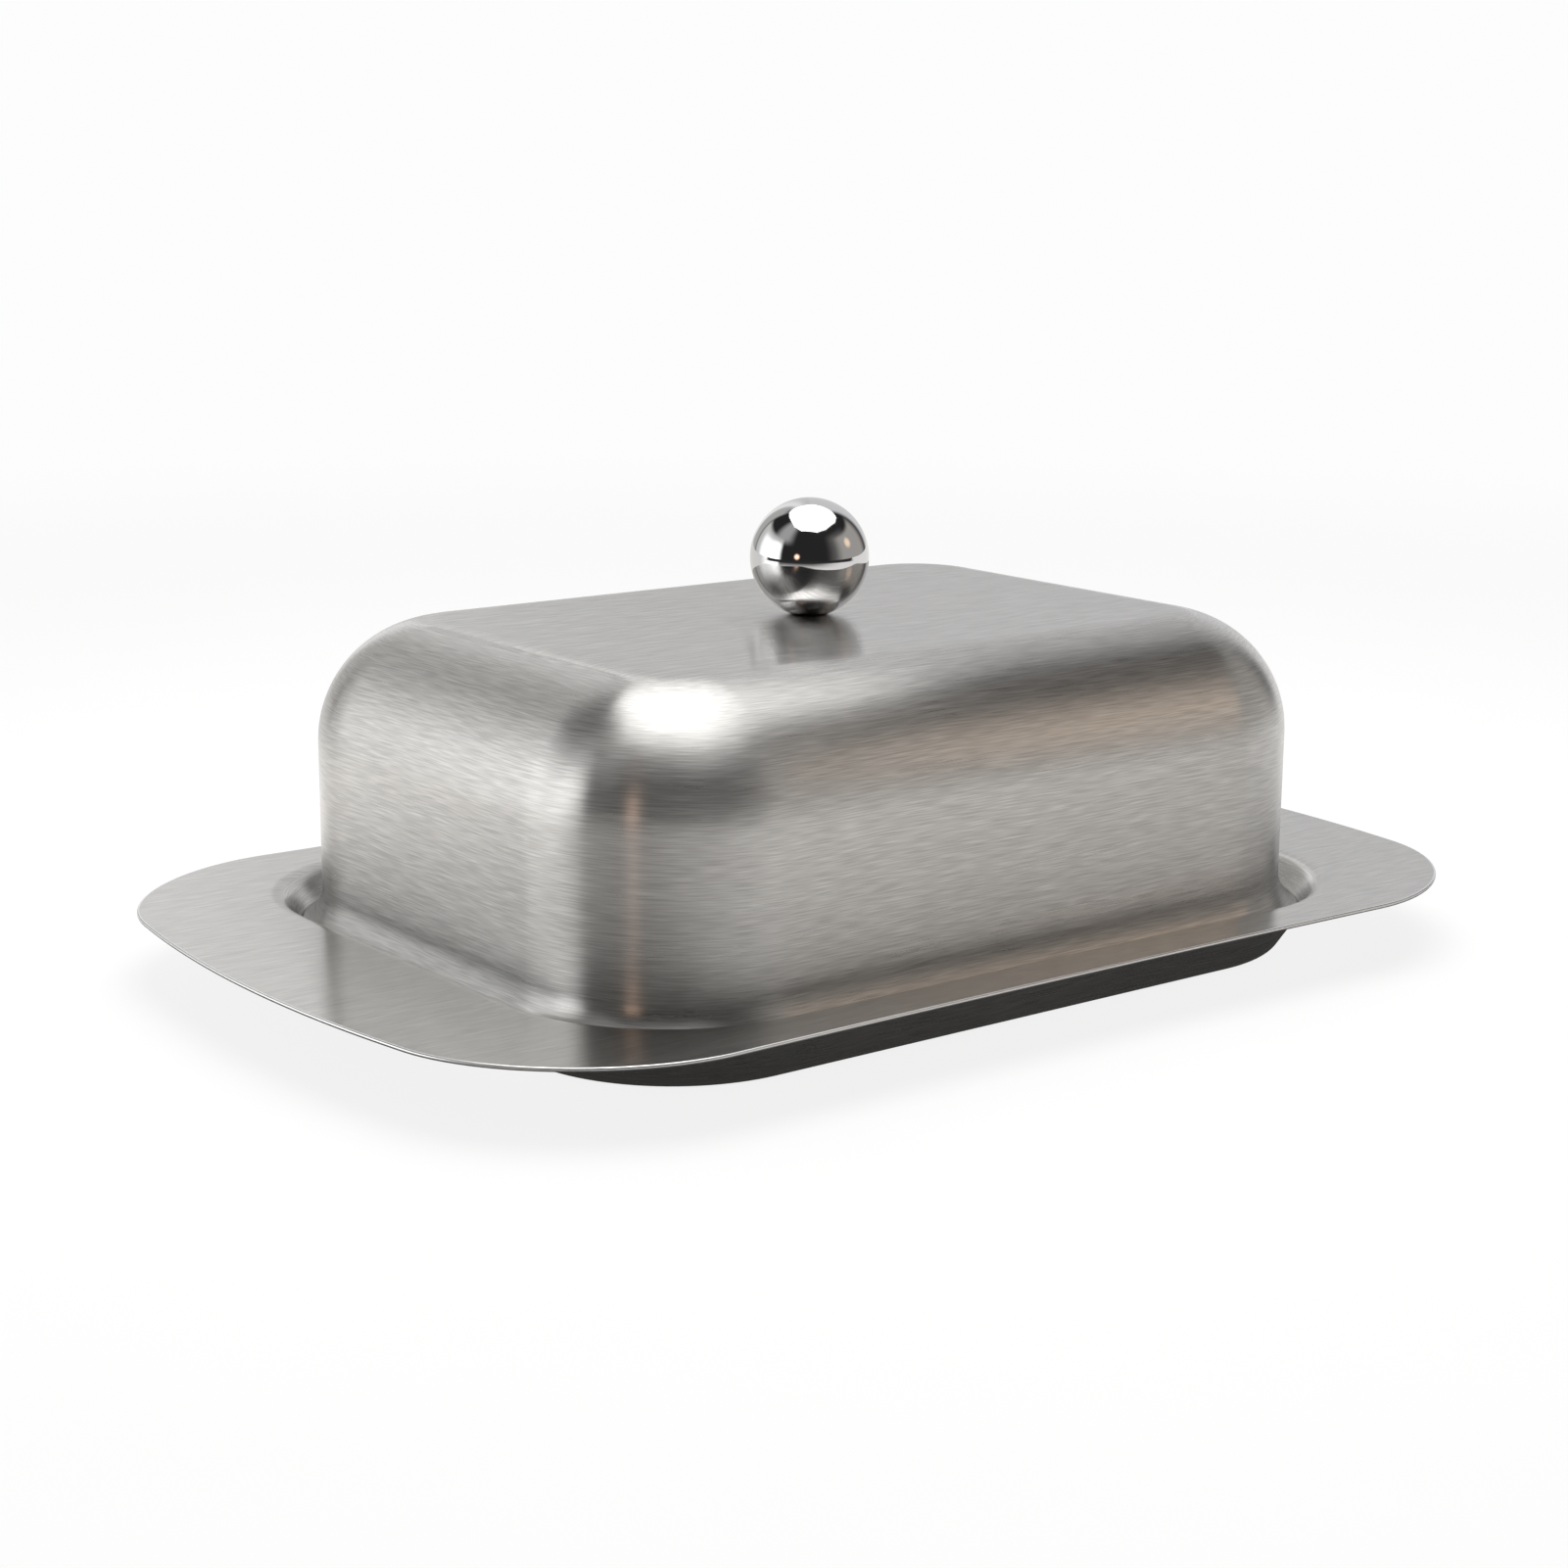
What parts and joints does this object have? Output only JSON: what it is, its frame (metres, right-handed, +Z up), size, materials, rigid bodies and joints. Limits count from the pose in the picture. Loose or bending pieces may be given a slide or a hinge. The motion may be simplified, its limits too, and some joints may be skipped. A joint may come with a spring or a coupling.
{
  "type": "butter dish",
  "caption": "Covered butter dish: a broad-rimmed rectangular steel tray with a shallow well, and a deep domed lid with a ball knob that lifts off.",
  "frame": {"origin": "centre of the flat base underside, on the table plane", "axes": "+X along the length of the dish, +Y across its width, +Z up out of the tray towards the knob"},
  "size_m": [0.1932, 0.127, 0.07],
  "materials": {
    "tray": "fine brushed satin along the length",
    "lid": "fine brushed satin, lines running round the walls and along the top",
    "knob": "mirror polished",
    "knob_screw": "plain machined stainless",
    "knob_washer": "plain stamped stainless"
  },
  "bodies": {
    "tray": {"tray": "tray"},
    "lid": {"lid": "lid", "knob": "knob", "knob_screw": "knob_screw", "knob_washer": "knob_washer"}
  },
  "joints": [
    {"name": "lid_lift", "type": "slide", "parent": "tray", "child": "lid", "axis": [0, 0, 1], "range_m": [0, 0.07]}
  ]
}
